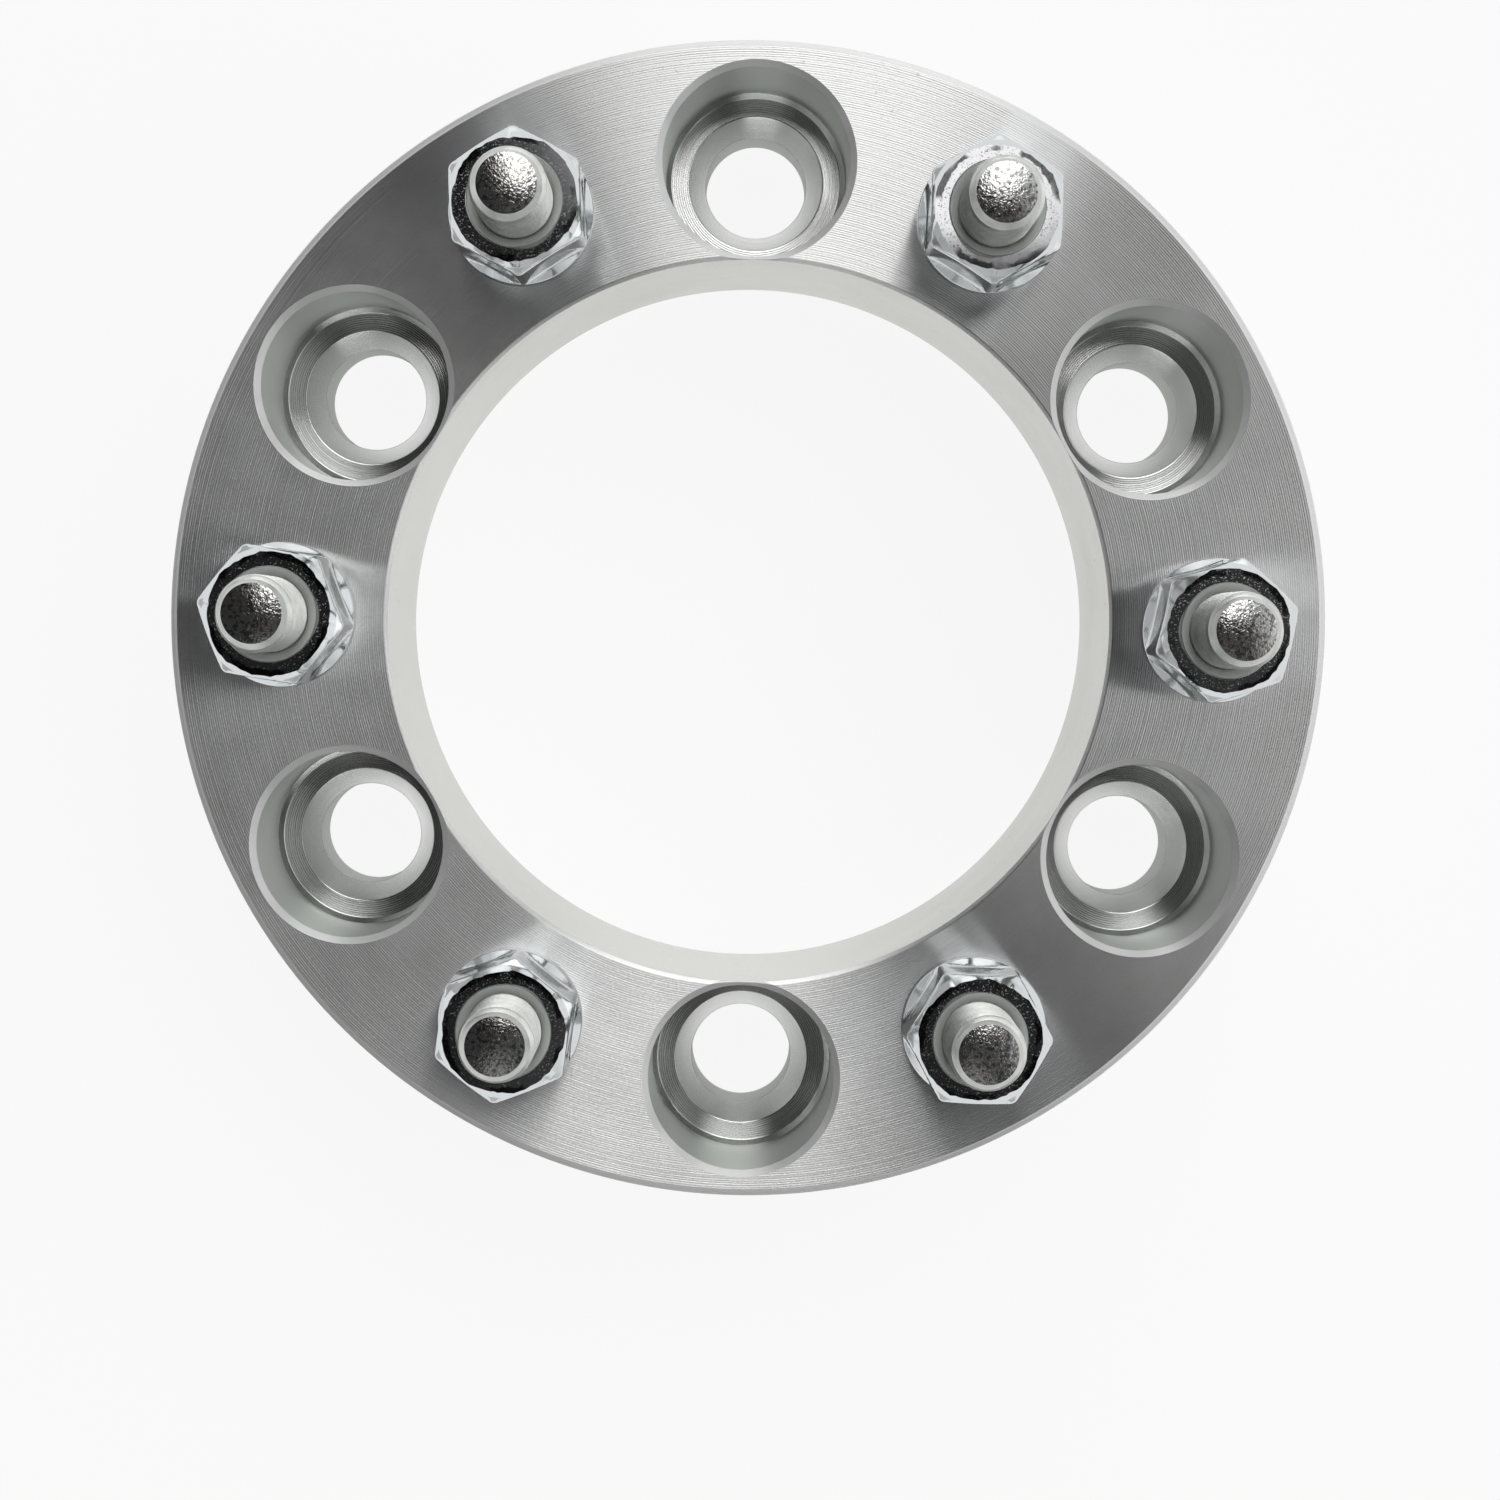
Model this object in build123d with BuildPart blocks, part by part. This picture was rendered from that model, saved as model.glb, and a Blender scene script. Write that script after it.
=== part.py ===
from build123d import *

import os
from math import cos, radians, tan

# A six-lug wheel spacer lying on its back face. The origin is the bore's centre on that face, +Z is the
# bore's axis and points out of the face that the wheel goes against. All sizes are in millimetres.

# Ring
ring_diameter = 176.3
ring_thickness = 38.1
bore_diameter = 110.0
rim_chamfer = 1.1
bore_chamfer = 0.5
bolt_circle_diameter = 139.7
lug_count = 6

# Stepped holes that drop over the hub's studs and take the hub's own nuts
pocket_diameter = 28.5
pocket_depth = 22.0
pocket_mouth_chamfer = 1.0
pocket_corner_bevel = 0.8
seat_diameter = 21.2
seat_angle = 60.0
hub_hole_diameter = 16.0
hub_hole_back_chamfer = 3.0

# Pressed-in wheel studs, 7/16 inch with 20 threads to the inch
thread_diameter = 11.11
stud_projection = 34.0
tip_chamfer_width = 1.25
tip_chamfer_length = 1.9
stud_head_diameter = 20.0
stud_head_thickness = 5.0
stud_head_chamfer = 0.8
knurl_rise = 0.65
knurl_tooth_height = 0.35
knurl_tooth_width = 1.2
knurl_teeth = 20
knurl_length = 12.0
knurl_fit = 0.02

# Counterbores in the back face that hold the stud heads
counterbore_clearance = 0.5
counterbore_depth = 7.0
counterbore_chamfer = 0.4

# Lug nuts, 3/4 inch across flats
nut_sides = 6
across_flats = 19.05
nut_height = 19.6
nut_base_diameter = 16.4
nut_cone_height = 4.5
collar_diameter = 21.7
collar_top = 7.7
hex_edge_radius = 1.2
crown_flat_diameter = 17.4
crown_drop = 1.85
nut_thread_clearance = 0.05
nut_mouth_width = 1.3

# Degrees that each nut had turned past a multiple of sixty when it was tight, starting with the nut on +X
nut_turns = (18, 29, 33, 51, 22, 59)

# Cutters run this far past the surfaces that they break through
overcut = 1.0

bolt_circle_radius = bolt_circle_diameter / 2
thread_radius = thread_diameter / 2
knurl_root_radius = thread_radius + knurl_rise
stud_tip_height = ring_thickness + stud_projection
knurl_end = counterbore_depth + knurl_length
collar_radius = collar_diameter / 2


def knurl_section(growth):
    """The knurl's cross-section: a round root with pointed teeth, all of it grown outwards by growth."""
    with BuildSketch() as section:
        Circle(knurl_root_radius + growth)
        with PolarLocations(knurl_root_radius, knurl_teeth):
            Polygon(
                (-knurl_tooth_height, -knurl_tooth_width / 2 - growth),
                (knurl_tooth_height + growth, 0),
                (-knurl_tooth_height, knurl_tooth_width / 2 + growth),
                align=None,
            )
    return section.sketch


# The space of one stepped hole, from below the back face to above the front one: a straight hole, a cone
# for the nut's seat, a flat floor, a bevelled corner, a straight pocket wall and a chamfered mouth
hub_hole_radius = hub_hole_diameter / 2
seat_radius = seat_diameter / 2
pocket_radius = pocket_diameter / 2
pocket_floor = ring_thickness - pocket_depth
seat_bottom = pocket_floor - (seat_radius - hub_hole_radius) / tan(radians(seat_angle / 2))
with BuildPart() as hub_stud_hole:
    with BuildSketch(Plane.XZ):
        with BuildLine():
            Polyline(
                (0, -overcut),
                (hub_hole_radius + hub_hole_back_chamfer + overcut, -overcut),
                (hub_hole_radius, hub_hole_back_chamfer),
                (hub_hole_radius, seat_bottom),
                (seat_radius, pocket_floor),
                (pocket_radius - pocket_corner_bevel, pocket_floor),
                (pocket_radius, pocket_floor + pocket_corner_bevel),
                (pocket_radius, ring_thickness - pocket_mouth_chamfer),
                (pocket_radius + pocket_mouth_chamfer + overcut, ring_thickness + overcut),
                (0, ring_thickness + overcut),
                close=True,
            )
        make_face()
    revolve(axis=Axis.Z)

# The space of one stud hole: a counterbore for the head in the back face, then a hole at the knurl's root
# size with the grooves that the knurl's teeth have pressed into its wall
counterbore_radius = stud_head_diameter / 2 + counterbore_clearance
with BuildPart() as stud_hole:
    with BuildSketch(Plane.XZ):
        with BuildLine():
            Polyline(
                (0, -overcut),
                (counterbore_radius + counterbore_chamfer + overcut, -overcut),
                (counterbore_radius, counterbore_chamfer),
                (counterbore_radius, counterbore_depth),
                (knurl_root_radius + knurl_fit, counterbore_depth),
                (knurl_root_radius + knurl_fit, ring_thickness + overcut),
                (0, ring_thickness + overcut),
                close=True,
            )
        make_face()
    revolve(axis=Axis.Z)
    with BuildSketch(Plane.XY.offset(counterbore_depth)):
        add(knurl_section(knurl_fit))
    extrude(amount=knurl_length + knurl_fit)

# The ring: stepped holes and stud holes take turns around one bolt circle, with a stud hole on +X
with BuildPart() as spacer_ring:
    with BuildSketch():
        Circle(ring_diameter / 2)
        Circle(bore_diameter / 2, mode=Mode.SUBTRACT)
    extrude(amount=ring_thickness)
    round_edges = spacer_ring.edges().filter_by(GeomType.CIRCLE).group_by(SortBy.RADIUS)
    chamfer(round_edges[-1], rim_chamfer)
    chamfer(round_edges[0], bore_chamfer)
    with PolarLocations(bolt_circle_radius, lug_count, start_angle=180 / lug_count):
        add(hub_stud_hole.part, mode=Mode.SUBTRACT)
    with PolarLocations(bolt_circle_radius, lug_count):
        add(stud_hole.part, mode=Mode.SUBTRACT)

# One stud, at its height in the ring: the head's upper side sits on the counterbore's floor
stud_head_bottom = counterbore_depth - stud_head_thickness
stud_head_radius = stud_head_diameter / 2
with BuildPart() as stud:
    with BuildSketch(Plane.XZ):
        with BuildLine():
            Polyline(
                (0, stud_head_bottom),
                (stud_head_radius - stud_head_chamfer, stud_head_bottom),
                (stud_head_radius, stud_head_bottom + stud_head_chamfer),
                (stud_head_radius, counterbore_depth),
                (knurl_root_radius, counterbore_depth),
                (knurl_root_radius, knurl_end),
                (thread_radius, knurl_end + knurl_rise),
                (thread_radius, stud_tip_height - tip_chamfer_length),
                (thread_radius - tip_chamfer_width, stud_tip_height),
                (0, stud_tip_height),
                close=True,
            )
        make_face()
    revolve(axis=Axis.Z)
    with BuildSketch(Plane.XY.offset(counterbore_depth)):
        add(knurl_section(0))
    extrude(amount=knurl_length)

# One nut, standing on the small end of its cone at z = 0. The collar's upper side is a 45 degree cone, so
# it leaves a curved line across the foot of each flat, as the bevelled crown does across its head.
flat_radius = across_flats / 2
corner_radius = flat_radius / cos(radians(180 / nut_sides))
collar_cone_rise = collar_radius - flat_radius + hex_edge_radius
nut_bore_radius = thread_radius + nut_thread_clearance
crown_flat_radius = crown_flat_diameter / 2
with BuildPart() as lug_nut:
    with BuildSketch(Plane.XZ):
        with BuildLine():
            Polyline(
                (0, 0),
                (nut_base_diameter / 2, 0),
                (collar_radius, nut_cone_height),
                (collar_radius, collar_top),
                (collar_radius - collar_cone_rise, collar_top + collar_cone_rise),
                (0, collar_top + collar_cone_rise),
                close=True,
            )
        make_face()
    revolve(axis=Axis.Z)
    with BuildSketch(Plane.XY.offset(collar_top)):
        RegularPolygon(radius=flat_radius, side_count=nut_sides, major_radius=False)
        fillet(vertices(), hex_edge_radius)
    extrude(amount=nut_height - collar_top)
    with BuildSketch(Plane.XZ):
        with BuildLine():
            Polyline(
                (0, 0),
                (corner_radius, 0),
                (corner_radius, nut_height - crown_drop),
                (crown_flat_radius, nut_height),
                (0, nut_height),
                close=True,
            )
        make_face()
    revolve(axis=Axis.Z, mode=Mode.INTERSECT)
    with BuildSketch(Plane.XZ):
        with BuildLine():
            Polyline(
                (0, -overcut),
                (nut_bore_radius, -overcut),
                (nut_bore_radius, nut_height - nut_mouth_width),
                (nut_bore_radius + nut_mouth_width + overcut, nut_height + overcut),
                (0, nut_height + overcut),
                close=True,
            )
        make_face()
    revolve(axis=Axis.Z, mode=Mode.SUBTRACT)

# Every finished piece is written as a file of its own
os.makedirs("parts", exist_ok=True)
spacer_ring.part.label = "spacer_ring"
export_step(spacer_ring.part, "parts/spacer_ring.step")

stud_places = PolarLocations(bolt_circle_radius, lug_count).locations
for number, place in enumerate(stud_places, start=1):
    with BuildPart() as seated_stud:
        with Locations(place):
            add(stud.part)
    seated_stud.part.label = f"stud_{number}"
    export_step(seated_stud.part, f"parts/stud_{number}.step")

    # A nut's turn is counted from +X, so the turn of its place on the bolt circle comes off again
    turn = nut_turns[(number - 1) % len(nut_turns)] - place.orientation.Z
    with BuildPart() as seated_nut:
        with Locations(place * Location((0, 0, ring_thickness), (0, 0, turn))):
            add(lug_nut.part)
    seated_nut.part.label = f"lug_nut_{number}"
    export_step(seated_nut.part, f"parts/lug_nut_{number}.step")
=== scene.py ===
import cmath
from math import cos, pi, radians, sin, sqrt, tau

import bpy
import numpy as np
from mathutils import Matrix, Vector


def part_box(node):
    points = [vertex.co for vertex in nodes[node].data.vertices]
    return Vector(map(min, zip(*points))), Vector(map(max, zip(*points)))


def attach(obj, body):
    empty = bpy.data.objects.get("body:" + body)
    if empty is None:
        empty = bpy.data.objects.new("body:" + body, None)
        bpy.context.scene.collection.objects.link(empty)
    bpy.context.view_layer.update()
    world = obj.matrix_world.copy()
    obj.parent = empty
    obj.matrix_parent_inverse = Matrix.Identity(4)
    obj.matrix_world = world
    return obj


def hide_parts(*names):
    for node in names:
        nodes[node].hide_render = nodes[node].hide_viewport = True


# A six-lug wheel spacer, seen from above as it lies on a white floor. Everything is in metres in the row's
# frame: +Z is the bore's axis, and the ring stands on z = 0. The pieces are made here to the sizes of the
# CAD model. The ring gets rounded edges, the studs get threads and domed ends, and the nuts get softened
# edges and a top face with an uneven border.

mm = 0.001

# Read from the frame
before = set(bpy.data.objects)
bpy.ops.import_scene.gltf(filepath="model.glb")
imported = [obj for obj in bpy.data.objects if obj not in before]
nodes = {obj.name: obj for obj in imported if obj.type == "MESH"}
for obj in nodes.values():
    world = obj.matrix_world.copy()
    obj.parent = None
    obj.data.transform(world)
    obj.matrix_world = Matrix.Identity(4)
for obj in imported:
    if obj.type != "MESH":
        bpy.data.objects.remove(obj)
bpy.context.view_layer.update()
ring_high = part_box("spacer_ring")[1]
ring_radius = ring_high.x
face_height = ring_high.z
lug_count = sum(name.startswith("lug_nut_") for name in nodes)


def middle(node):
    """The centre of a node's box."""
    low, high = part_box(node)
    return (low + high) / 2


bolt_circle_radius = middle("stud_1").x

# Ring, as in the CAD model
bore_radius = 55.0 * mm
rim_chamfer = 1.1 * mm
bore_chamfer = 0.5 * mm
pocket_radius = 14.25 * mm
pocket_floor = 16.1 * mm
pocket_mouth_chamfer = 1.0 * mm
pocket_corner_bevel = 0.8 * mm
seat_radius = 10.6 * mm
hub_hole_radius = 8.0 * mm
hub_hole_back_chamfer = 3.0 * mm
counterbore_radius = 10.5 * mm
counterbore_depth = 7.0 * mm
counterbore_chamfer = 0.4 * mm
stud_hole_radius = 6.225 * mm
overcut = 1.0 * mm
ring_segments = 240
hole_segments = 96

# Stud, as in the CAD model, with the thread that the CAD model leaves out
stud_head_radius = 10.0 * mm
stud_head_chamfer = 0.8 * mm
knurl_root_radius = 6.205 * mm
knurl_tooth_height = 0.35 * mm
knurl_teeth = 20
knurl_start = 7.0 * mm
knurl_end = 19.0 * mm
knurl_run_out = 0.65 * mm
thread_radius = 5.555 * mm
thread_pitch = 1.27 * mm
thread_depth = 0.78 * mm
thread_start = 52.0 * mm
tip_flat_radius = 4.3 * mm
tip_chamfer_length = 1.9 * mm
tip_dome = 0.30 * mm
stud_segments = 6 * knurl_teeth

# Nut, as in the CAD model, with rounded edges. The top face spreads up to crown_spread past the CAD model's,
# and the bevel below it is back in its place crown_fade further down.
nut_sides = 6
across_flats = 19.05 * mm
nut_base_radius = 8.2 * mm
nut_foot_rounding = 0.3 * mm
nut_foot_drop = 0.02 * mm
seat_cone_height = 4.5 * mm
collar_edge_softness = 0.5 * mm
collar_top = 7.7 * mm
hex_edge_radius = 1.2 * mm
hex_edge_points = 7
flat_intervals = 10
crown_flat_radius = 8.7 * mm
crown_slope = 1.85 / 2.3
crown_flat_margin = 0.1 * mm
crown_spread = 0.60 * mm
crown_fade = 0.9 * mm
nut_bore_radius = 5.605 * mm
nut_mouth_radius = 6.9 * mm
nut_mouth_rounding = 0.1 * mm
nut_mouth_drop = 0.04 * mm
edge_softness = 0.14 * mm

# Rows of a nut's mesh where its form changes: how far below and above the change they reach, and their count
collar_foot_rows = (0.6 * mm, 0.6 * mm, 9)
flats_foot_rows = (0.3 * mm, 1.7 * mm, 26)
flats_head_rows = (2.6 * mm, 0, 36)

# A packed nut's hexagon is plain from this height up, and its corners lie within this distance of full size
plain_hexagon_start = 10 * mm
corner_margin = 0.4 * mm

# Unevenness of a nut's top border: waves that run round the nut, each with its count, phase and size
border_waves = (
    (2, 1.3, 0.35), (5, 0.4, 0.30), (9, 2.1, 0.20), (16, 5.0, 0.17), (27, 3.3, 0.17), (41, 1.1, 0.15)
)

# Radius of the rounded edges and corners that the lathe left
edge_rounding = 0.12 * mm

# Points closer than this are welded, and edges that turn by these angles or more stay sharp
weld_distance = 0.002 * mm
sharp_angle = radians(32)
ring_sharp_angle = radians(20)

# Turning grooves: their pitch, and the slopes of their sides, their unevenness and the metal's grain
face_groove_pitch = 0.34 * mm
wall_groove_pitch = 0.478 * mm
groove_tilt = 0.15
groove_unevenness = 0.35
groove_unevenness_length = 0.2 * mm
groove_grain = 0.25

# The painted dark reflection on the border of a nut's top face: how far its inner side strays, and the radii
# between which it darkens
dark_reflection_stray = 1.4 * mm
dark_reflection_start = 8.75 * mm
dark_reflection_full = 9.00 * mm

# Distances past a surface at which its material gives way to the next
bore_margin = 0.05 * mm
hub_hole_margin = 0.1 * mm
nut_mouth_margin = 0.02 * mm


def circle(steps):
    """The azimuths of equal steps round a circle."""
    return np.arange(steps) * tau / steps


def around(radius, height, azimuths):
    """One row of points round the Z axis; radius and height are numbers or one value per azimuth."""
    radius = np.broadcast_to(radius, azimuths.shape)
    height = np.broadcast_to(height, azimuths.shape)
    return np.stack([radius * np.cos(azimuths), radius * np.sin(azimuths), height], axis=-1)


def grid_object(name, rows, seam_shift=0):
    """A mesh through rows of points that go round the Z axis. rows is an array (row, step, xyz). With a
    seam_shift, the last step of a row joins the first step of the row that many rows further on."""
    row_count, steps = rows.shape[:2]
    faces = []
    for row in range(row_count - 1):
        for step in range(steps):
            joined = row + seam_shift if step == steps - 1 else row
            if joined + 1 < row_count:
                after = (step + 1) % steps
                near, far = row * steps, joined * steps + after
                faces.append((near + step, far, far + steps, near + steps + step))
    mesh = bpy.data.meshes.new(name)
    mesh.from_pydata(rows.reshape(-1, 3).tolist(), [], faces)
    piece = bpy.data.objects.new(name, mesh)
    bpy.context.scene.collection.objects.link(piece)
    return piece


def turned(name, profile, segments):
    """A profile of (radius, height) points turned round the Z axis. A radius may be one value per azimuth."""
    azimuths = circle(segments)
    return grid_object(name, np.stack([around(radius, height, azimuths) for radius, height in profile]))


def apply(piece, modifier):
    with bpy.context.temp_override(object=piece, active_object=piece, selected_objects=[piece]):
        bpy.ops.object.modifier_apply(modifier=modifier.name)


def weld(piece, sharp_from=sharp_angle):
    """Closes a piece's seams, and makes it smooth except at the edges that turn by sharp_from or more."""
    modifier = piece.modifiers.new("weld", "WELD")
    modifier.merge_threshold = weld_distance
    apply(piece, modifier)
    piece.data.polygons.foreach_set("use_smooth", [True] * len(piece.data.polygons))
    piece.data.set_sharp_from_angle(angle=sharp_from)


def join(name, pieces):
    """The pieces as one welded object."""
    with bpy.context.temp_override(active_object=pieces[0], selected_editable_objects=pieces):
        bpy.ops.object.join()
    piece = pieces[0]
    piece.name = piece.data.name = name
    weld(piece)
    return piece


def soft_corners(corners):
    """A profile of (radius, height) points with its inner corners rounded. A point close to either side of
    each rounding keeps the surfaces beyond it true."""
    corners = np.array(corners)
    points = [corners[0]]
    for before, corner, after in zip(corners, corners[1:], corners[2:]):
        back = (before - corner) / np.linalg.norm(before - corner) * edge_rounding
        ahead = (after - corner) / np.linalg.norm(after - corner) * edge_rounding
        points.append(corner + 2 * back)
        for share in (0, 0.25, 0.5, 0.75, 1):
            points.append(corner + (1 - share) ** 2 * back + share ** 2 * ahead)
        points.append(corner + 2 * ahead)
    points.append(corners[-1])
    return points


def ring_blank():
    """The ring before its holes."""
    top, middle_radius = face_height, bolt_circle_radius
    return turned("turned_ring", soft_corners([
        (middle_radius, 0),
        (ring_radius - rim_chamfer, 0),
        (ring_radius, rim_chamfer),
        (ring_radius, top - rim_chamfer),
        (ring_radius - rim_chamfer, top),
        (middle_radius, top),
        (bore_radius + bore_chamfer, top),
        (bore_radius, top - bore_chamfer),
        (bore_radius, bore_chamfer),
        (bore_radius + bore_chamfer, 0),
        (middle_radius, 0),
    ]), ring_segments)


def stepped_hole():
    """The space of a hole for a hub stud: back chamfer, hole, conical seat, floor, pocket, mouth."""
    top = face_height
    seat_bottom = pocket_floor - (seat_radius - hub_hole_radius) * sqrt(3)
    return turned("stepped_hole", [(0, -overcut)] + soft_corners([
        (hub_hole_radius + hub_hole_back_chamfer + overcut, -overcut),
        (hub_hole_radius, hub_hole_back_chamfer),
        (hub_hole_radius, seat_bottom),
        (seat_radius, pocket_floor),
        (pocket_radius - pocket_corner_bevel, pocket_floor),
        (pocket_radius, pocket_floor + pocket_corner_bevel),
        (pocket_radius, top - pocket_mouth_chamfer),
        (pocket_radius + pocket_mouth_chamfer + overcut, top + overcut),
    ]) + [(0, top + overcut)], hole_segments)


def stud_hole():
    """The space of a stud hole, with the counterbore for the stud's head."""
    return turned("stud_hole", [(0, -overcut)] + soft_corners([
        (counterbore_radius + counterbore_chamfer + overcut, -overcut),
        (counterbore_radius, counterbore_chamfer),
        (counterbore_radius, counterbore_depth),
        (stud_hole_radius, counterbore_depth),
        (stud_hole_radius, face_height + overcut),
    ]) + [(0, face_height + overcut)], hole_segments)


def drilled_ring():
    """The blank with both kinds of hole taken out of it, taking turns round the bolt circle."""
    cutters = []
    for number in range(lug_count):
        for make_hole, half_steps in ((stud_hole, 0), (stepped_hole, 1)):
            cutter = make_hole()
            turn = Matrix.Rotation((number + half_steps / 2) * tau / lug_count, 4, "Z")
            cutter.data.transform(turn @ Matrix.Translation((bolt_circle_radius, 0, 0)))
            cutters.append(cutter)
    cutter = join("holes", cutters)
    ring = ring_blank()
    weld(ring)
    cut = ring.modifiers.new("holes", "BOOLEAN")
    cut.object = cutter
    cut.solver = "EXACT"
    apply(ring, cut)
    bpy.data.objects.remove(cutter)
    # The cut leaves some points twice, so the ring is welded again
    weld(ring, ring_sharp_angle)
    return ring


def stud_body(head_bottom):
    """Head, knurl and plain shank, up to where the thread starts inside the nut."""
    # 0 at the middle of a tooth and 1 halfway to the next
    off_tooth = np.abs((circle(stud_segments) * knurl_teeth / tau + 0.5) % 1 - 0.5) * 2
    knurl_radius = knurl_root_radius + knurl_tooth_height * (1 - 2 * off_tooth).clip(0)
    return turned("stud_body", [
        (0, head_bottom),
        (stud_head_radius - stud_head_chamfer, head_bottom),
        (stud_head_radius, head_bottom + stud_head_chamfer),
        (stud_head_radius, knurl_start),
        (knurl_radius, knurl_start),
        (knurl_radius, knurl_end),
        (knurl_root_radius, knurl_end),
        (thread_radius, knurl_end + knurl_run_out),
        (thread_radius, thread_start),
    ], stud_segments)


def stud_thread(tip_height):
    """The thread as one strip that follows the helix, cut off by the chamfer at the tip."""
    azimuths = circle(stud_segments)
    # Shares of the pitch at which the crest ends and the root starts and ends
    crest_end, root_start, root_end = 0.125, 0.479, 0.646
    phases = (0, crest_end, (crest_end + root_start) / 2, root_start, root_end, (root_end + 1) / 2)
    depths = (0, 0, 0.5, 1, 1, 0.5)
    chamfer_slope = (thread_radius - tip_flat_radius) / tip_chamfer_length
    # The turns start below the thread and go on past the tip, so that both of its ends are cut off level
    last_turn = int((tip_height - thread_start) / thread_pitch) + 2
    rows = []
    for turn in range(-1, last_turn + 1):
        for phase, depth in zip(phases, depths):
            height = thread_start + (turn + phase + azimuths / tau) * thread_pitch
            height = height.clip(thread_start, tip_height - tip_dome)
            # The thread fades in over its first half turn, inside the nut
            fade = ((height - thread_start) / (thread_pitch / 2)).clip(0, 1)
            thread = thread_radius - thread_depth * depth * fade
            chamfer = tip_flat_radius + (tip_height - tip_dome - height) * chamfer_slope
            rows.append(around(np.minimum(thread, chamfer), height, azimuths))
    return grid_object("stud_thread", np.stack(rows), seam_shift=len(phases))


def stud_end(tip_height):
    """The end face of a stud: a shallow dome, with its points at these shares of the radius."""
    shares = (1.0, 0.97, 0.85, 0.7, 0.5, 0.3, 0.15, 0.0)
    dome = [(tip_flat_radius * share, tip_height - tip_dome * share ** 2) for share in shares]
    return turned("stud_end", dome, stud_segments)


def smooth_min(a, b, width):
    """The smaller of a and b, rounded over width where they cross."""
    share = np.clip(0.5 + 0.5 * (b - a) / width, 0, 1)
    return b * (1 - share) + a * share - width * share * (1 - share)


def hexagon(corner_azimuth):
    """Azimuths and radii round a hexagon with rounded corners, one of them at corner_azimuth."""
    flat_radius = across_flats / 2
    half_side = pi / nut_sides
    corner_centre = (flat_radius - hex_edge_radius) / cos(half_side)
    half_flat = corner_centre * sin(half_side)
    points = []
    for side in range(nut_sides):
        to_corner = cmath.rect(1, corner_azimuth + 2 * half_side * side)
        to_flat = cmath.rect(1, corner_azimuth + 2 * half_side * side + half_side)
        for bend in np.linspace(-half_side, half_side, hex_edge_points):
            points.append(to_corner * (corner_centre + cmath.rect(hex_edge_radius, bend)))
        for along in np.linspace(-half_flat, half_flat, flat_intervals + 1)[1:-1]:
            points.append(to_flat * complex(flat_radius, along))
    points = np.array(points)
    return np.unwrap(np.angle(points)), np.abs(points)


def uneven_border(azimuths, corner_azimuth):
    """A value between 0 and 1 for each azimuth. The pattern lies at another angle on each nut."""
    places = azimuths + 7 * corner_azimuth
    total = sum(size * np.sin(count * places + phase) for count, phase, size in border_waves)
    return 0.5 + 0.5 * np.clip(total, -1, 1)


def heights_around(change, below, above, count):
    return np.linspace(change - below, change + above, count)


def nut_mesh(name, base_height, height, collar_radius, corner_azimuth):
    """A cone-seat nut with a collar: turned below, hexagonal above, with a bevelled crown."""
    azimuths, hex_radius = hexagon(corner_azimuth)
    full = np.full(azimuths.shape, collar_radius)
    cone_slope = (collar_radius - nut_base_radius) / seat_cone_height
    mouth_depth = nut_mouth_radius - nut_bore_radius

    # The form changes from the cone to the collar, from the collar's upper side to the flats, and from the
    # flats to the crown
    collar_foot = heights_around(seat_cone_height, *collar_foot_rows)
    flats_foot = heights_around(collar_top, *flats_foot_rows)
    flats_head = heights_around(height, *flats_head_rows)

    rows = []

    def add_row(radius, z):
        rows.append(around(radius, z, azimuths))

    add_row(nut_bore_radius, 0)
    add_row(nut_base_radius - nut_foot_rounding, 0)
    add_row(nut_base_radius, nut_foot_drop)
    add_row(nut_base_radius + cone_slope * nut_foot_rounding, nut_foot_rounding)
    for z in collar_foot:
        add_row(smooth_min(nut_base_radius + cone_slope * z, full, collar_edge_softness), z)
    for z in flats_foot:
        collar = smooth_min(full, collar_radius + collar_top - z, edge_softness)
        add_row(-smooth_min(-collar, -hex_radius, edge_softness), z)
    # The top face was struck flat, so the bevel's border with it is uneven
    spread = crown_spread * uneven_border(azimuths, corner_azimuth)
    for z in flats_head:
        below = height - z
        crown = crown_flat_radius + below / crown_slope + spread * max(0, 1 - below / crown_fade)
        add_row(smooth_min(hex_radius, crown, edge_softness * 2), z)
    add_row(crown_flat_radius - crown_flat_margin, height)
    add_row(nut_mouth_radius + 2 * nut_mouth_rounding, height)
    add_row(nut_mouth_radius + nut_mouth_rounding, height)
    add_row(nut_mouth_radius, height - nut_mouth_drop)
    add_row(nut_bore_radius, height - mouth_depth)
    add_row(nut_bore_radius, 0)

    rows = np.stack(rows)
    rows[:, :, 2] += base_height
    return grid_object(name, rows)


def corner_azimuth_of(node, centre):
    """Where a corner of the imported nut's hexagon points, from the outermost vertices above its collar."""
    above_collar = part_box(node)[0].z + plain_hexagon_start
    near_corner = across_flats / sqrt(3) - corner_margin
    corner_sum = 0
    for vertex in nodes[node].data.vertices:
        offset = complex(vertex.co.x - centre.x, vertex.co.y - centre.y)
        if vertex.co.z > above_collar and abs(offset) > near_corner:
            corner_sum += (offset / abs(offset)) ** nut_sides
    return cmath.phase(corner_sum) / nut_sides


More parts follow.
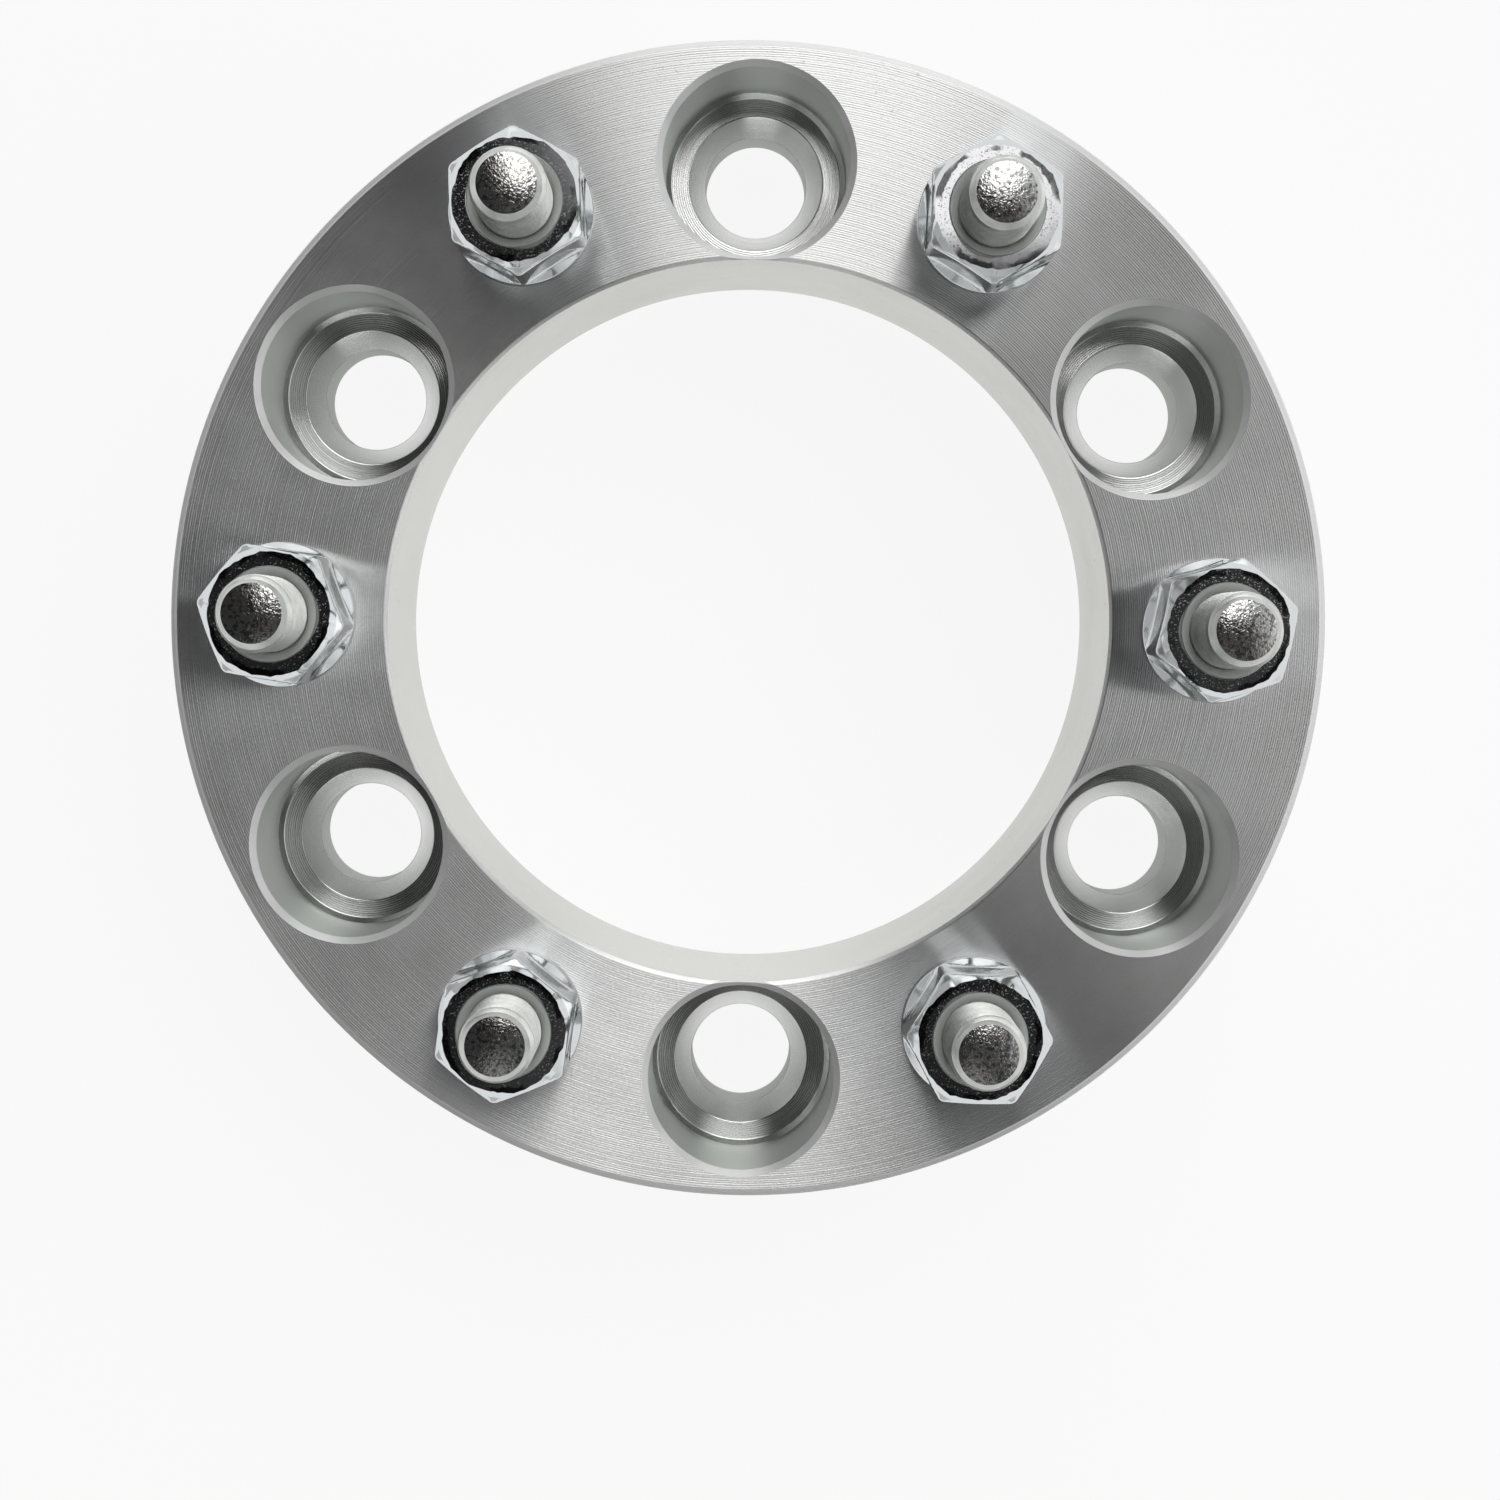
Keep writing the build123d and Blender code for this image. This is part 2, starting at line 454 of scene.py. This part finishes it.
class Nodes:
    """Shader nodes of one tree. Each method adds a node and gives its output socket."""

    def __init__(self, tree):
        self.tree = tree

    def feed(self, node, inputs):
        """Links sockets to a node's inputs, or sets values there. inputs is a dict, or a row of the first
        inputs in order."""
        pairs = inputs.items() if isinstance(inputs, dict) else enumerate(inputs)
        for key, value in pairs:
            if isinstance(value, bpy.types.NodeSocket):
                self.tree.links.new(value, node.inputs[key])
            else:
                node.inputs[key].default_value = value

    def add(self, kind, inputs=(), output=0, **settings):
        node = self.tree.nodes.new(kind)
        for key, value in settings.items():
            setattr(node, key, value)
        self.feed(node, inputs)
        return node.outputs[output]

    def math(self, operation, *inputs):
        return self.add("ShaderNodeMath", inputs, operation=operation)

    def vector(self, operation, *inputs):
        return self.add("ShaderNodeVectorMath", inputs, operation=operation)

    def length(self, vector):
        return self.add("ShaderNodeVectorMath", (vector,), "Value", operation="LENGTH")

    def dot(self, a, b):
        return self.add("ShaderNodeVectorMath", (a, b), "Value", operation="DOT_PRODUCT")

    def scaled(self, vector, factor):
        return self.add("ShaderNodeVectorMath", {0: vector, "Scale": factor}, operation="SCALE")

    def combine(self, x=0.0, y=0.0, z=0.0):
        return self.add("ShaderNodeCombineXYZ", (x, y, z))

    def split(self, vector):
        node = self.tree.nodes.new("ShaderNodeSeparateXYZ")
        self.tree.links.new(vector, node.inputs[0])
        return node.outputs

    def noise(self, vector, scale, detail=2.0, roughness=0.5):
        inputs = {"Vector": vector, "Scale": scale, "Detail": detail, "Roughness": roughness}
        return self.add("ShaderNodeTexNoise", inputs)

    def noise_line(self, place, scale, detail):
        """Noise that varies along one number only."""
        inputs = {"W": place, "Scale": scale, "Detail": detail}
        return self.add("ShaderNodeTexNoise", inputs, noise_dimensions="1D")

    def step(self, value, low, high, to_low=0.0, to_high=1.0):
        """value taken smoothly from low..high to to_low..to_high."""
        inputs = (value, low, high, to_low, to_high)
        return self.add("ShaderNodeMapRange", inputs, interpolation_type="SMOOTHSTEP")

    def choose(self, share, elsewhere, there):
        """The number elsewhere where share is 0, and the number there where it is 1."""
        return self.math("MULTIPLY_ADD", share, there - elsewhere, elsewhere)

    def mix(self, factor, a, b):
        """Colour a where factor is 0, and b where it is 1."""
        node = self.tree.nodes.new("ShaderNodeMix")
        node.data_type = "RGBA"
        shown = {socket.name: index for index, socket in enumerate(node.inputs) if socket.enabled}
        self.feed(node, {shown["Factor"]: factor, shown["A"]: a, shown["B"]: b})
        return next(socket for socket in node.outputs if socket.enabled)


def from_nearest_lug(make, x, y, half_steps):
    """The level vector from the nearest of the axes round the bolt circle. half_steps is 0 for the studs and
    1 for the holes between them."""
    step = tau / lug_count
    shift = half_steps * step / 2
    from_first = make.math("SUBTRACT", make.math("ARCTAN2", y, x), shift)
    count = make.math("ROUND", make.math("DIVIDE", from_first, step))
    azimuth = make.math("MULTIPLY_ADD", count, step, shift)
    axis_x = make.math("MULTIPLY", make.math("COSINE", azimuth), bolt_circle_radius)
    axis_y = make.math("MULTIPLY", make.math("SINE", azimuth), bolt_circle_radius)
    return make.vector("SUBTRACT", make.combine(x, y), make.combine(axis_x, axis_y))


def new_material(name):
    """An empty node material, its node builder and its metal shader."""
    material = bpy.data.materials.new(name)
    material.use_nodes = True
    tree = material.node_tree
    shader = tree.nodes["Principled BSDF"]
    shader.inputs["Metallic"].default_value = 1.0
    return material, Nodes(tree), shader


def grey(value):
    return (value, value, value, 1.0)


def turned_aluminium():
    """Bare aluminium off the lathe: fine grooves round the ring's axis, and round each pocket's own axis."""
    material, make, shader = new_material("turned_aluminium")
    place = make.add("ShaderNodeTexCoord", output="Object")
    normal = make.add("ShaderNodeNewGeometry", output="Normal")
    x, y, z = make.split(place)
    up = make.split(normal)[2]

    # Place relative to the axis of the cut: the nearest pocket's inside a pocket, the ring's elsewhere
    from_ring = make.combine(x, y)
    from_pocket = from_nearest_lug(make, x, y, 1)
    ring_distance = make.length(from_ring)
    pocket_distance = make.length(from_pocket)
    near_pocket = make.math("LESS_THAN", pocket_distance, pocket_radius + pocket_mouth_chamfer)
    off_bore = make.math("GREATER_THAN", ring_distance, bore_radius + bore_margin)
    in_pocket = make.math("MULTIPLY", near_pocket, off_bore)
    outside = make.math("SUBTRACT", 1.0, in_pocket)
    from_axis = make.vector("ADD", make.scaled(from_pocket, in_pocket), make.scaled(from_ring, outside))

    # Surfaces with a finish of their own: steep walls, a pocket's mouth, seat and hole, and the rim's chamfer
    steep = make.step(up, 0.45, 0.1)
    above_wall = make.math("GREATER_THAN", z, face_height - pocket_mouth_chamfer)
    at_mouth = make.math("MULTIPLY", in_pocket, above_wall)
    at_seat = make.math("LESS_THAN", pocket_distance, seat_radius)
    in_hole = make.math("LESS_THAN", pocket_distance, hub_hole_radius + hub_hole_margin)
    past_face = make.math("GREATER_THAN", ring_distance, ring_radius - rim_chamfer)
    at_rim = make.math("MULTIPLY", past_face, make.math("GREATER_THAN", z, face_height - rim_chamfer))

    # Grooves run along the tangent. Their count grows with the radius across a face and with z up a wall.
    # The pockets have less grain, and shallower grooves.
    tangent = make.vector("NORMALIZE", make.vector("CROSS_PRODUCT", (0, 0, 1), from_axis))
    across = make.vector("CROSS_PRODUCT", normal, tangent)
    radius = make.length(from_axis)
    face_turns = make.math("DIVIDE", radius, face_groove_pitch)
    turns = make.math("MULTIPLY_ADD", z, 1 / wall_groove_pitch, face_turns)
    wave = make.math("SINE", make.math("MULTIPLY", turns, tau))
    along_profile = make.math("ADD", radius, z)
    uneven = make.noise_line(along_profile, scale=1 / groove_unevenness_length, detail=1.0)
    uneven = make.math("SUBTRACT", uneven, 0.5)
    grain = make.math("SUBTRACT", make.noise(place, scale=2600.0, detail=1.0), 0.5)
    local_grain = make.math("MULTIPLY", grain, make.choose(in_pocket, 1.0, 0.15))
    tilt = make.math("MULTIPLY_ADD", uneven, groove_unevenness, make.math("MULTIPLY", wave, groove_tilt))
    tilt = make.math("MULTIPLY_ADD", local_grain, groove_grain, tilt)
    tilt = make.math("MULTIPLY", tilt, make.choose(in_pocket, 1.0, 0.4))
    bent = make.vector("NORMALIZE", make.vector("ADD", normal, make.scaled(across, tilt)))

    # Colour: small stains all over, painted shade that darkens the walls, most in the greenish pockets,
    # painted light on the seats, and pale mouths and rim
    cloud = make.noise(place, scale=45.0, detail=5.0, roughness=0.65)
    stains = make.step(cloud, 0.3, 0.7, 0.15, 0.85)
    shade = make.math("MULTIPLY_ADD", make.math("MULTIPLY", grain, outside), 0.5, stains)
    stained = (0.74, 0.74, 0.735, 1)
    clean = (0.90, 0.90, 0.895, 1)
    shaded_open_wall = (0.69, 0.69, 0.665, 1)
    tinted_shaded_pocket_wall = (0.53, 0.555, 0.525, 1)
    metal = make.mix(shade, stained, clean)
    # The seats are painted lighter than the metal, as painted light in the pockets
    metal = make.mix(at_seat, metal, grey(0.96))
    # Steep walls are painted darker as painted shade, deeper still in the pockets
    metal = make.mix(steep, metal, make.mix(in_pocket, shaded_open_wall, tinted_shaded_pocket_wall))
    metal = make.mix(make.math("MAXIMUM", at_mouth, at_rim), metal, grey(0.78))

    # The mouths, the rim and the hub stud holes are less like a mirror
    dull = make.math("MAXIMUM", make.math("MULTIPLY", at_mouth, 0.7), make.math("MULTIPLY", in_hole, 0.3))
    dull = make.math("MAXIMUM", dull, make.math("MULTIPLY", at_rim, 0.6))

    # The pockets' floors and seats are the smoothest
    speck = make.step(make.noise(place, scale=1100.0, detail=2.0), 0.70, 0.76)
    level = make.math("MAXIMUM", make.step(up, 0.3, 0.45), at_seat)
    polished = make.math("MULTIPLY", make.math("SUBTRACT", in_pocket, at_mouth), level)
    roughness = make.step(cloud, 0.25, 0.8, 0.32, 0.38)
    for share, change in (
        (polished, -0.19),
        (make.math("MULTIPLY", steep, outside), -0.10),
        (make.math("MULTIPLY", speck, outside), 0.2),
        (in_hole, 0.15),
    ):
        roughness = make.math("MULTIPLY_ADD", share, change, roughness)

    make.feed(shader, {
        "Base Color": metal,
        "Metallic": make.math("SUBTRACT", 1.0, dull),
        "Roughness": roughness,
        "Anisotropic": 1.0,
        "Tangent": across,
        "Normal": bent,
    })
    return material


def plated_stud():
    """Zinc plated steel: a fine grain on the thread, and a dented, pitted end face with painted shade in its
    pits.
    """
    material, make, shader = new_material("plated_steel_stud")
    place = make.add("ShaderNodeTexCoord", output="Object")
    z = make.split(place)[2]
    up = make.split(make.add("ShaderNodeNewGeometry", output="True Normal"))[2]
    near_tip = make.math("GREATER_THAN", z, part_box("stud_1")[1].z - 1 * mm)
    at_end = make.math("MULTIPLY", make.math("GREATER_THAN", up, 0.9), near_tip)

    dents = make.noise(place, scale=2400.0, detail=1.0, roughness=0.6)
    grain = make.noise(place, scale=4000.0, detail=2.0)
    grain = make.math("MULTIPLY", grain, make.choose(at_end, 2.0, 0.7))
    height = make.math("MULTIPLY_ADD", dents, at_end, grain)
    bump = make.add("ShaderNodeBump", {"Strength": 0.9, "Distance": 0.035 * mm, "Height": height})

    patches = make.step(make.noise(place, scale=400.0, detail=3.0), 0.35, 0.7)
    dark_zinc = (0.56, 0.58, 0.55, 1)
    light_zinc = (0.68, 0.69, 0.67, 1)
    side = make.mix(patches, dark_zinc, light_zinc)
    warmth = make.step(make.noise(place, scale=250.0, detail=2.0), 0.4, 0.65)
    warm_steel = (0.74, 0.71, 0.68, 1)
    # The dark spots on the end face are painted shade in its pits
    painted_pit_shade = (0.30, 0.29, 0.28, 1)
    end = make.mix(warmth, grey(0.84), warm_steel)
    off_pit_shade = make.step(make.noise(place, scale=1800.0, detail=2.0), 0.36, 0.52)
    end = make.mix(off_pit_shade, painted_pit_shade, end)

    make.feed(shader, {
        "Base Color": make.mix(at_end, side, end),
        "Roughness": make.choose(at_end, 0.42, 0.11),
        "Normal": bump,
    })
    return material


def chrome_nut():
    """Bright plating: flats with a faint ripple, a pitted top face with painted shade, and a dull mouth with
    painted light.
    """
    material, make, shader = new_material("chrome_nut")
    place = make.add("ShaderNodeTexCoord", output="Object")
    up = make.split(make.add("ShaderNodeNewGeometry", output="True Normal"))[2]
    on_top = make.math("GREATER_THAN", up, 0.95)
    x, y = make.split(place)[:2]
    off_axis = make.length(from_nearest_lug(make, x, y, 0))
    inside = make.math("LESS_THAN", off_axis, nut_mouth_radius - nut_mouth_margin)

    pits = make.step(make.noise(place, scale=3600.0, detail=3.0, roughness=0.6), 0.60, 0.72)
    ripple = make.noise(place, scale=520.0, detail=3.0)
    pits = make.math("MULTIPLY", pits, make.choose(on_top, 0.0, 0.08))
    ripple = make.math("MULTIPLY", ripple, make.choose(on_top, 0.14, 0.0))
    height = make.math("ADD", pits, ripple)
    bump = make.add("ShaderNodeBump", {"Strength": 0.8, "Distance": 0.2 * mm, "Height": height})

    # A dark reflection is painted on the border of the top face, nearly black in places, with a ragged inner
    # side
    ragged = make.math("MULTIPLY_ADD", make.noise(place, scale=700.0, detail=3.0), dark_reflection_stray, off_axis)
    near_top = make.math("GREATER_THAN", up, 0.85)
    painted_dark_reflection = make.math("MULTIPLY", make.step(ragged, dark_reflection_start, dark_reflection_full), near_top)
    in_places = make.step(make.noise(place, scale=180.0, detail=1.0), 0.42, 0.52)
    painted_dark_reflection = make.math("MULTIPLY", painted_dark_reflection, in_places)

    chrome = (0.70, 0.725, 0.735, 1)
    # The top face is painted dark as painted shade
    top_painted_dark = (0.40, 0.40, 0.41, 1)
    # The mouth is painted lighter as painted light; its dullness is real
    dull_mouth_painted_light = (0.84, 0.86, 0.83, 1)
    colour = make.mix(on_top, chrome, top_painted_dark)
    colour = make.mix(inside, colour, dull_mouth_painted_light)
    # The painted dark reflection on the top face's border goes on last
    colour = make.mix(painted_dark_reflection, colour, grey(0.07))
    roughness = make.step(make.noise(place, scale=300.0, detail=3.0), 0.3, 0.8, 0.06, 0.16)
    roughness = make.math("MULTIPLY", roughness, make.choose(on_top, 1.0, 0.5))

    make.feed(shader, {
        "Base Color": colour,
        "Metallic": make.choose(inside, 1.0, 0.4),
        "Roughness": make.math("MULTIPLY_ADD", inside, 0.45, roughness),
        "Normal": bump,
    })
    return material


def floor_material():
    """A white floor that keeps the part's shadow. Seen directly or as a reflection, most of it glows."""
    glow = 0.9
    material = bpy.data.materials.new("floor")
    material.use_nodes = True
    make = Nodes(material.node_tree)
    make.tree.nodes.remove(make.tree.nodes["Principled BSDF"])
    paper = make.add("ShaderNodeBsdfDiffuse", {"Color": grey(0.9)})
    white = make.add("ShaderNodeEmission", {"Color": grey(1.0), "Strength": 1.0})
    path = make.tree.nodes.new("ShaderNodeLightPath").outputs
    reflected = make.math("MAXIMUM", path["Is Glossy Ray"], path["Is Transmission Ray"])
    seen = make.math("MAXIMUM", path["Is Camera Ray"], reflected)
    mixed = make.add("ShaderNodeMixShader", (make.math("MULTIPLY", seen, glow), paper, white))
    make.feed(make.tree.nodes["Material Output"], {"Surface": mixed})
    return material


def add_floor():
    half = 3.0
    corners = [(-half, -half, 0), (half, -half, 0), (half, half, 0), (-half, half, 0)]
    mesh = bpy.data.meshes.new("floor")
    mesh.from_pydata(corners, [], [(0, 1, 2, 3)])
    mesh.materials.append(floor_material())
    floor = bpy.data.objects.new("floor", mesh)
    bpy.context.scene.collection.objects.link(floor)


def window_light(make, direction, apex, azimuth, full, end, brightness, near, far, dim):
    """The strength of one window's light. Seen from its apex, the window is full up to one angle from its
    azimuth and gone at the other, in degrees. Away from the zenith it grows from dim to its brightness
    between two distances. It is weaker near the horizon."""
    x, y, z = make.split(direction)
    from_apex = make.combine(make.math("SUBTRACT", x, apex[0]), make.math("SUBTRACT", y, apex[1]))
    level = make.vector("NORMALIZE", from_apex)
    towards = (cos(radians(azimuth)), sin(radians(azimuth)), 0)
    width = make.step(make.dot(level, towards), cos(radians(end)), cos(radians(full)))
    reach = make.step(make.dot(direction, towards), near, far, dim * brightness, brightness)
    height = make.step(z, 0.05, 0.5, 0.3, 1.0)
    return make.math("MULTIPLY", width, make.math("MULTIPLY", reach, height))


def add_world():
    """A studio with strong light on the part's +Y side, broad light on +X and weak light on -Y. It all stops
    short of the zenith. The room between is dark overhead and brighter low down."""
    windows = (
        dict(apex=(0.04, -0.06), azimuth=88, full=8, end=31, brightness=2.2, near=0.134, far=0.149, dim=0.0),
        dict(apex=(0, 0), azimuth=265, full=8, end=27, brightness=0.29, near=0.14, far=0.53, dim=0.25),
        dict(apex=(0, 0), azimuth=5, full=18, end=78, brightness=1.42, near=0.14, far=0.84, dim=0.02),
    )
    world = bpy.data.worlds.new("studio")
    world.use_nodes = True
    bpy.context.scene.world = world
    make = Nodes(world.node_tree)
    direction = make.add("ShaderNodeTexCoord", output="Generated")
    strength = make.step(make.split(direction)[2], 0.50, 0.12, 0.03, 0.5)
    for window in windows:
        strength = make.math("ADD", strength, window_light(make, direction, **window))
    make.feed(world.node_tree.nodes["Background"], {"Color": grey(1.0), "Strength": strength})


def add_camera():
    """Above the part, with the photograph's framing. The last angle turns the picture as the part stood."""
    sensor = 36.0
    image_width = 1500
    focal_pixels = 2777.0
    data = bpy.data.cameras.new("camera")
    data.sensor_width = sensor
    data.lens = focal_pixels / image_width * sensor
    data.clip_start = 0.01
    camera = bpy.data.objects.new("camera", data)
    camera.location = Vector((-1.24, -1.56, 461.64)) * mm
    camera.rotation_euler = [radians(angle) for angle in (-2.415, -0.2, 0.989)]
    bpy.context.scene.collection.objects.link(camera)
    bpy.context.scene.camera = camera


def add_ring(material):
    ring = drilled_ring()
    ring.data.materials.clear()
    ring.data.materials.append(material)
    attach(ring, "root")
    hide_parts("spacer_ring")


def add_studs(material):
    for number in range(1, lug_count + 1):
        node = f"stud_{number}"
        low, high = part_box(node)
        centre = middle(node)
        stud = join(f"threaded_stud_{number}", [stud_body(low.z), stud_thread(high.z), stud_end(high.z)])
        stud.data.transform(Matrix.Translation((centre.x, centre.y, 0)))
        stud.data.materials.append(material)
        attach(stud, "root")
        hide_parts(node)


def add_nuts(material):
    for number in range(1, lug_count + 1):
        node = f"lug_nut_{number}"
        low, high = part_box(node)
        centre = middle(node)
        collar_radius = (high.x - low.x) / 2
        corner_azimuth = corner_azimuth_of(node, centre)
        nut = nut_mesh(f"plated_lug_nut_{number}", low.z, high.z - low.z, collar_radius, corner_azimuth)
        weld(nut)
        nut.data.transform(Matrix.Translation((centre.x, centre.y, 0)))
        nut.data.materials.append(material)
        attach(nut, "root")
        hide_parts(node)


add_ring(turned_aluminium())
add_studs(plated_stud())
add_nuts(chrome_nut())

add_floor()
add_world()
add_camera()
bpy.context.scene.view_settings.view_transform = "Standard"
